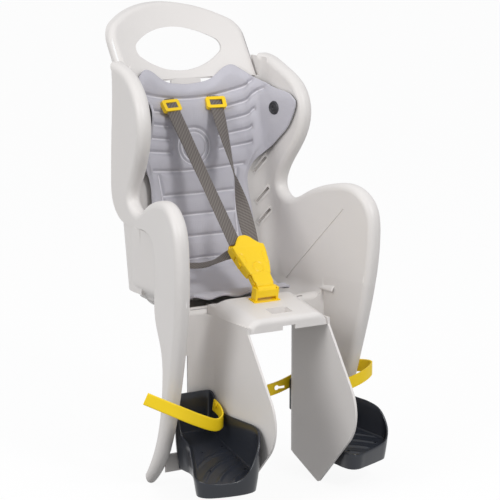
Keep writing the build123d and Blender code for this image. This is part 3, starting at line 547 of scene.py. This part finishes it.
# Webbing: flat belts laid along their runs, turned about their own line where the photograph shows it
belt = {
    "width": 25.0, "thick": 1.6, "rows": 90, "columns": 6, "bevel": 0.5,
    "rear": (46.0, 190.0, 342.0), "bend": (46.0, 158.0, 342.0), "end": (16.0, -19.1, 112.0),
    "bendShares": (0.6, 0.02), "steps": 12,
    "leftTurns": [(0.0, 0), (0.25, 4), (0.6, -8), (1.0, -4)],
    "rightTurns": [(0.0, 0), (0.2, 0), (0.3, -14), (0.45, -38), (0.6, -62), (0.8, -128), (1.0, -176)],
}
waistBelt = {
    "width": 18.0, "thick": 1.6, "rows": 60, "columns": 4, "bevel": 0.5,
    "run": [(-18, -28, 102), (-30, -16, 95), (-52, 12, 77), (-78, 34, 74), (-106, 44, 80), (-133, 52, 82)],
    "turns": [(0.0, 20), (0.3, 68), (0.7, 72), (1.0, 10)],
}
footBelt = {
    "width": 21.0, "thick": 2.6, "rows": 80, "columns": 8, "bevel": 0.5,
    "run": [(-88, -68, -142), (-88, -88, -148), (-94, -108, -159), (-116, -122, -160), (-150, -126, -146),
            (-190, -122, -126), (-232, -99, -105)],
    "turns": [(0.0, 0), (1.0, 0)],
}


def layBelt(name, size, run, turns, flatWay, material):
    run = [Vector(p) for p in run]
    length = sum((b - a).length for a, b in zip(run, run[1:]))

    def place(u, v):
        way = curveWay(run, v, 0.01).normalized()
        out = way.cross(flatWay).normalized()
        side = out.cross(way)
        angle = math.radians(along(turns, v))
        across = side * math.cos(angle) + out * math.sin(angle)
        return spot(*(curveThrough(run, v) + across * (u - 0.5) * size["width"]))

    def cloth(u, v):
        return u * size["width"] / 1000, v * length / 1000

    piece = bentGrid(name, size["columns"], size["rows"], place, material, cloth)
    applyModifier(piece, "SOLIDIFY", "body", {"thickness": size["thick"] / 1000, "offset": 0.0})
    applyModifier(piece, "BEVEL", "edge",
                  {"width": size["bevel"] / 1000, "segments": 1, "limit_method": "ANGLE"})
    return piece


for side, across in (("left", -1), ("right", 1)):
    rear, bend, end = [Vector((across * x, y, z)) for x, y, z in (belt["rear"], belt["bend"], belt["end"])]
    run = [rear, rear.lerp(bend, belt["bendShares"][0]), bend.lerp(end, belt["bendShares"][1])]
    run += [bend.lerp(end, step / belt["steps"]) for step in range(1, belt["steps"] + 1)]
    piece = layBelt("shoulderBelt" + side.title(), belt, run, belt[side + "Turns"], Vector((1, 0, 0)),
                    webbing)
    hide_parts("shoulder_strap_" + side)
    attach(piece, "seat")
piece = layBelt("waistBelt", waistBelt, waistBelt["run"], waistBelt["turns"], Vector((0, 0, 1)), webbing)
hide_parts("waist_strap")
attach(piece, "seat")
piece = layBelt("footBeltLeft", footBelt, footBelt["run"], footBelt["turns"], Vector((0, 0, 1)), strapRubber)
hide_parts("foot_strap_left")
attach(piece, "footrest_left_group")
print("belts laid")

# Press studs holding the pad's flaps: domed cap with a small eye, (radius, height) from the middle out
stud = {
    "around": 40, "rowsEach": 8, "lookFrom": 0.06,
    "profile": [(0, 0.6), (1.4, 0.6), (2.1, 2.2), (3.8, 2.8), (5.7, 2.7), (6.6, 1.9), (8.6, 2.6),
                (10.6, 2.0), (11.4, 0.8), (11.3, -1.5), (0, -1.5)],
}


def makeStud(side):
    low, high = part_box("pad_snap_" + side)
    inward = Vector((1 if side == "left" else -1, -tub["flare"], 0)).normalized()
    eye = (Vector(low) + Vector(high)) / 2 + inward * stud["lookFrom"]
    centre, out = padPiece.ray_cast(eye, -inward)[1:3]  # where the pad's face is
    upright = out.to_track_quat("Z", "Y")

    def onStud(u, v):
        r, h = curveThrough(stud["profile"], v)
        angle = 2 * math.pi * u
        return centre + upright @ (Vector((r * math.cos(angle), r * math.sin(angle), h)) / 1000)

    rows = stud["rowsEach"] * (len(stud["profile"]) - 1)
    piece = bentGrid("pressStud" + side.title(), stud["around"], rows, onStud, darkNylon)
    closeSeams(piece)
    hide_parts("pad_snap_" + side)
    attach(piece, "seat")


makeStud("left")
makeStud("right")
print("press studs made")

# Footrest trays: a cup drawn around a loop of places, each (across, along, height of the rim there)
tray = {
    "around": 190, "floorRows": 46, "insideRows": 5, "outsideRows": 8,
    "wall": 3.0, "rimRound": 1.2, "rimInsets": (0.7, 0.3), "fillet": 0.6, "leastRim": 1.5,
    "rearY": -47, "floorZ": -188, "slope": 0.22, "bottomZ": -247, "draft": 0.0013, "draftZ": -175,
    "treadCentre": (60, -300), "treads": (90, 112, 134, 156, 178), "treadWidth": 9, "treadHeight": 1.6,
    "treadEnd": (0.85, 0.97),
    "drains": [(96, -110), (100, -190), (140, -120), (160, -180)], "drainR": 2.5, "drillLength": 20,
    "lugFrom": (122, -49, -183), "lugTo": (148, -31.7, -134), "sharpAngle": 40,
    "leftMiddle": (128, -150), "rightMiddle": (122, -130),
    "left": [(120, -47, -121), (98, -47, -121), (86, -50, -121), (83, -59, -123), (83, -68, -134),
             (83, -82, -148), (83, -105, -151), (83, -150, -150), (83, -190, -149), (85, -207, -152),
             (91, -222, -163), (103, -233, -184), (120, -238, -210), (140, -238, -222), (165, -234, -224),
             (188, -226, -222), (200, -212, -219), (200, -194, -216), (186, -166, -210), (169, -131, -202),
             (157, -106, -196), (152, -88, -191), (152, -72, -183), (152, -62, -160), (152, -54, -128),
             (149, -48, -121), (138, -47, -121), (120, -47, -121)],
    "right": [(120, -47, -121), (98, -47, -121), (86, -50, -121), (83, -60, -122), (83, -76, -132),
              (83, -92, -144), (83, -108, -166), (83, -121, -192), (83, -138, -203), (83, -170, -211),
              (83, -188, -215), (86, -205, -218), (95, -216, -220), (109, -218, -221), (124, -213, -220),
              (140, -207, -219), (162, -198, -217), (179, -190, -212), (188, -180, -198), (188, -168, -178),
              (183, -157, -164), (174, -140, -156), (164, -120, -152), (155, -101, -148), (152, -86, -140),
              (152, -68, -128), (152, -57, -122), (149, -48, -121), (138, -47, -121), (120, -47, -121)],
}


def trayFloor(y):
    return tray["floorZ"] + tray["slope"] * (y - tray["rearY"])


def trayTread(x, y):
    # low broad treads around a far centre
    out = (Vector((x, y)) - Vector(tray["treadCentre"])).length
    near = min(abs(out - radius) for radius in tray["treads"])
    return tray["treadHeight"] * (1 - smooth(0, tray["treadWidth"] / 2, near))


def trayLean(height):
    # how far the walls lean in lower down
    return tray["draft"] * min(height - tray["draftZ"], 0) ** 2


def traySection(row, low, rim):
    # up the inside, over the rim, down the outside and back up under the floor: (inset, height)
    wall, rimRound = tray["wall"], tray["rimRound"]
    if row <= tray["insideRows"]:
        rise = max(rim - rimRound, low + tray["leastRim"]) - low - 1
        return wall + (tray["fillet"] if row == 0 else 0), low + 1 + rise * row / tray["insideRows"]
    row -= tray["insideRows"] + 1
    if row < 2:
        return tray["rimInsets"][row] * wall, rim
    row -= 2
    if row <= tray["outsideRows"]:
        drop = tray["bottomZ"] + rimRound - rim
        return 0, rim - rimRound + drop * row / tray["outsideRows"]
    return wall, tray["bottomZ"] if row == tray["outsideRows"] + 1 else low - wall


def makeTray(side):
    across = -1 if side == "left" else 1
    loop = tray[side]
    middle = Vector(tray[side + "Middle"])
    wall, floorRows = tray["wall"], tray["floorRows"]
    rows = floorRows + tray["insideRows"] + tray["outsideRows"] + 5

    def onTray(u, v):
        edge = curveThrough(loop, u)
        step = curveWay(loop, u, 0.003)
        inward = Vector((-step.y, step.x)).normalized()
        low = trayFloor(edge.y)
        row = round(v * rows)
        if row < floorRows:
            share = row / (floorRows - 1)
            place = middle.lerp(edge.xy + inward * (2 * wall + trayLean(low)), share)
            tread = trayTread(place.x, place.y) * (1 - smooth(*tray["treadEnd"], share))
            return spot(across * place.x, place.y, trayFloor(place.y) + tread)
        if row == rows:
            return spot(across * middle.x, middle.y, trayFloor(middle.y) - wall)
        inset, height = traySection(row - floorRows, low, edge.z)
        place = edge.xy + inward * (inset + trayLean(height))
        return spot(across * place.x, place.y, height)

    piece = bentGrid("tray" + side.title(), tray["around"], rows, onTray, trayPlastic)
    closeSeams(piece)
    # drains cut through the floor
    for x, y in tray["drains"]:
        deselectAll()
        bpy.ops.mesh.primitive_cylinder_add(vertices=24, radius=tray["drainR"] / 1000,
                                            depth=tray["drillLength"] / 1000,
                                            location=spot(across * x, y, trayFloor(y)))
        drill = bpy.context.active_object
        applyModifier(piece, "BOOLEAN", "drain", {"operation": "DIFFERENCE", "object": drill})
        bpy.data.objects.remove(drill)
    # lug through the slot of the leg
    low, high = Vector(tray["lugFrom"]), Vector(tray["lugTo"])
    centre = (low + high) / 2
    deselectAll()
    bpy.ops.mesh.primitive_cube_add(size=1, location=spot(across * centre.x, centre.y, centre.z),
                                    scale=(high - low) / 1000)
    lug = bpy.context.active_object
    lug.data.materials.append(trayPlastic)
    makeActive(piece)
    lug.select_set(True)
    bpy.ops.object.join()
    bpy.ops.object.shade_smooth_by_angle(angle=math.radians(tray["sharpAngle"]))
    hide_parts("footrest_" + side)
    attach(piece, "footrest_" + side + "_group")


makeTray("left")
makeTray("right")
print("trays made")

# Buckle fronts: sculpted faces over the flat CAD blocks, measured up from the bar of the crotch clip
buckle = {
    "bar": (0.0, -89.36, 46.5), "tilt": math.radians(47), "half": 8.0, "deep": 2.4,
    "columns": 64, "rows": 96,
    "edge": [(27, 19.5), (30, 20.5), (42, 24), (60, 28), (76, 30.5), (86, 31), (88, 25), (109, 5)],
    "swell": [(27, 1.2), (40, 2.6), (80, 3.4), (109, 0.6)],
    "edgeR": 4.0, "edgeDrop": 0.6, "topSpread": 1.2, "groove": 1.5, "grooveWidth": 0.9,
    "button": (23.0, 58.0, 5.0, 10.5), "ring": (0.0, 40.0, 9.5),
}
tongue = {"columns": 40, "rows": 40, "edge": [(3, 16.5), (11, 16.8), (13, 18.5), (32, 18.5)],
          "swell": [(3, -1.2), (9, -0.2), (14, 0.2), (32, 1.0)]}
clipFront = {"origin": (0.0, -86.0, 28.82), "tilt": math.atan(0.19), "half": 20.0, "low": 7.0, "high": 21.0,
             "front": -7.6, "columns": 30, "rows": 16, "deep": 1.4, "edgeR": 2.0, "edgeDrop": 0.6}


def onBuckle(x, y, z):
    barX, barY, barZ = buckle["bar"]
    cosine, sine = math.cos(buckle["tilt"]), math.sin(buckle["tilt"])
    return spot(barX + x, barY + z * sine + y * cosine, barZ + z * cosine - y * sine)


def rounded(gap, radius):
    # drop of a rounded edge at a distance in from it
    part = 1 - min(max(gap, 0.0) / radius, 1.0)
    return radius * (1 - math.sqrt(1 - part * part)) if part < 1 else radius


def buckleMarks(x, z):
    # distance to the outline of a button or of the ring
    buttonX, buttonZ, wide, tall = buckle["button"]
    reach = max(abs(z - buttonZ) - (tall - wide), 0.0)
    ringX, ringZ, ringR = buckle["ring"]
    return min(abs(math.hypot(abs(x) - buttonX, reach) - wide),
               abs(math.hypot(x - ringX, z - ringZ) - ringR))


def addFace(name, size, place, deep):
    piece = bentGrid(name, size["columns"], size["rows"], place, yellowPlastic)
    applyModifier(piece, "SOLIDIFY", "body", {"thickness": deep / 1000, "offset": -1.0})
    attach(piece, "seat")


def onFront(size, u, v):
    low, high = size["edge"][0][0], size["edge"][-1][0]
    z = low + (high - low) * v
    half = along(size["edge"], z)
    x = (2 * u - 1) * half
    gap = min(half - abs(x), z - low, (high - z) * buckle["topSpread"])
    proud = along(size["swell"], z) - rounded(gap, buckle["edgeR"]) * buckle["edgeDrop"]
    if size is buckle:
        proud -= buckle["groove"] * math.exp(-(buckleMarks(x, z) / buckle["grooveWidth"]) ** 2)
    return onBuckle(x, -buckle["half"] - proud, z)


def onClip(u, v):
    x = (2 * u - 1) * clipFront["half"]
    z = clipFront["low"] + (clipFront["high"] - clipFront["low"]) * v
    gap = min(clipFront["half"] - abs(x), z - clipFront["low"], clipFront["high"] - z)
    y = clipFront["front"] + rounded(gap, clipFront["edgeR"]) * clipFront["edgeDrop"]
    cosine, sine = math.cos(clipFront["tilt"]), math.sin(clipFront["tilt"])
    originX, originY, originZ = clipFront["origin"]
    return spot(originX + x, originY + y * cosine - z * sine, originZ + y * sine + z * cosine)


addFace("buckleFace", buckle, lambda u, v: onFront(buckle, u, v), buckle["deep"])
addFace("tongueFace", tongue, lambda u, v: onFront(tongue, u, v), buckle["deep"])
addFace("clipFace", clipFront, onClip, clipFront["deep"])
print("buckle faces made")

# Hip panels: the tub's outer sides, overlapping the band behind and set back from the guard
hip = {
    "columns": 44, "rows": 52, "thick": 3.0, "low": 20.0, "high": 142.0, "turnIn": 16.0, "turnOver": 34.0,
    "run": [(158.5, 82), (161, 64), (161.8, 44), (162, 12), (163.5, -20), (166, -45), (167, -62)],
}


def makeHip(side):
    across = -1 if side == "left" else 1

    def onHip(u, v):
        place = curveThrough(hip["run"], u)
        height = hip["low"] + (hip["high"] - hip["low"]) * v
        curl = hip["turnIn"] * (1 - smooth(0, hip["turnOver"], height - hip["low"])) ** 2
        return spot(across * (place.x - curl), place.y, height)

    piece = bentGrid("hipPanel" + side.title(), hip["columns"], hip["rows"], onHip, shellPlastic)
    applyModifier(piece, "SOLIDIFY", "wall", {"thickness": hip["thick"] / 1000, "offset": across})
    closeSeams(piece)
    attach(piece, "seat")


makeHip("left")
makeHip("right")
print("hip panels made")

# Stage: pale floor that reads as white paper and keeps a soft shadow
stage = {
    "floorSize": 30.0, "floorDrop": 0.0005, "paper": (0.95, 0.95, 0.95, 1), "glow": 0.92,
    "bounce": (0.2, 0.2, 0.2, 1),  # little light is thrown back up
    "skyColour": (0.97, 0.98, 1.0, 1), "sky": 0.72, "aim": (0, -0.05, 0.1),
}
white = {"Color": (1, 1, 1, 1), "Strength": 1.0}


def paperFloor():
    material, tree, shader = newMaterial("studio paper, white", {"Roughness": 0.9})
    ray = addNode(tree, "ShaderNodeLightPath")
    tint = addNode(tree, "ShaderNodeMix", {"data_type": "RGBA", "A": stage["bounce"], "B": stage["paper"]},
                   {"Factor": ray.outputs["Is Camera Ray"]})
    tree.links.new(tint.outputs["Result"], shader.inputs["Base Color"])
    seen = addNode(tree, "ShaderNodeMath", {"operation": "MAXIMUM"},
                   {0: ray.outputs["Is Camera Ray"], 1: ray.outputs["Is Glossy Ray"]})
    share = addNode(tree, "ShaderNodeMath", {"operation": "MULTIPLY"},
                    {0: seen.outputs["Value"], 1: stage["glow"]})
    paper = addNode(tree, "ShaderNodeEmission", white)
    mix = addNode(tree, "ShaderNodeMixShader", {},
                  {0: share.outputs["Value"], 1: shader.outputs["BSDF"], 2: paper.outputs["Emission"]})
    tree.links.new(mix.outputs["Shader"], tree.nodes["Material Output"].inputs["Surface"])
    return material


deselectAll()
bpy.ops.mesh.primitive_plane_add(size=stage["floorSize"], location=(0, 0, cadBox[0].z - stage["floorDrop"]))
floor = bpy.context.active_object
floor.name = "floor"
floor.data.materials.append(paperFloor())

world = bpy.data.worlds.new("studio")
bpy.context.scene.world = world
world.use_nodes = True
sky = world.node_tree
skyLight = sky.nodes["Background"]
skyLight.inputs["Color"].default_value = stage["skyColour"]
skyLight.inputs["Strength"].default_value = stage["sky"]
ray = addNode(sky, "ShaderNodeLightPath")
paperSky = addNode(sky, "ShaderNodeBackground", white)
behind = addNode(sky, "ShaderNodeMixShader", {},
                 {0: ray.outputs["Is Camera Ray"], 1: skyLight.outputs["Background"],
                  2: paperSky.outputs["Background"]})
sky.links.new(behind.outputs["Shader"], sky.nodes["World Output"].inputs["Surface"])

lamps = [
    {"name": "frontSoftbox", "place": (0.3, -2.4, 1.8), "size": 0.6, "power": 26.0},
    {"name": "leftSoftbox", "place": (-2.6, -0.6, 1.5), "size": 1.4, "power": 31.0},
]
for softbox in lamps:
    deselectAll()
    bpy.ops.object.light_add(type="AREA", location=softbox["place"])
    lamp = bpy.context.active_object
    lamp.name = softbox["name"]
    lamp.data.shape = "DISK"
    lamp.data.size = softbox["size"]
    lamp.data.energy = softbox["power"]
    lamp.rotation_mode = "QUATERNION"
    lamp.rotation_quaternion = (Vector(stage["aim"]) - Vector(softbox["place"])).to_track_quat("-Z", "Y")

# Camera at the photograph's angle, 3.5 m away
shot = {"azimuth": -31.2, "elevation": 11.1, "distance": 3.5, "aim": (0, -0.086, 0.105), "lens": 151.2,
        "sensor": 36.0}
turn, rise = math.radians(shot["azimuth"]), math.radians(shot["elevation"])
back = Vector((math.sin(turn) * math.cos(rise), -math.cos(turn) * math.cos(rise), math.sin(rise)))
deselectAll()
bpy.ops.object.camera_add(location=Vector(shot["aim"]) + back * shot["distance"])
camera = bpy.context.active_object
camera.rotation_mode = "QUATERNION"
camera.rotation_quaternion = (-back).to_track_quat("-Z", "Y")
camera.data.lens = shot["lens"]
camera.data.sensor_width = shot["sensor"]
bpy.context.scene.camera = camera
bpy.context.scene.view_settings.view_transform = "Standard"
print("stage and camera set")
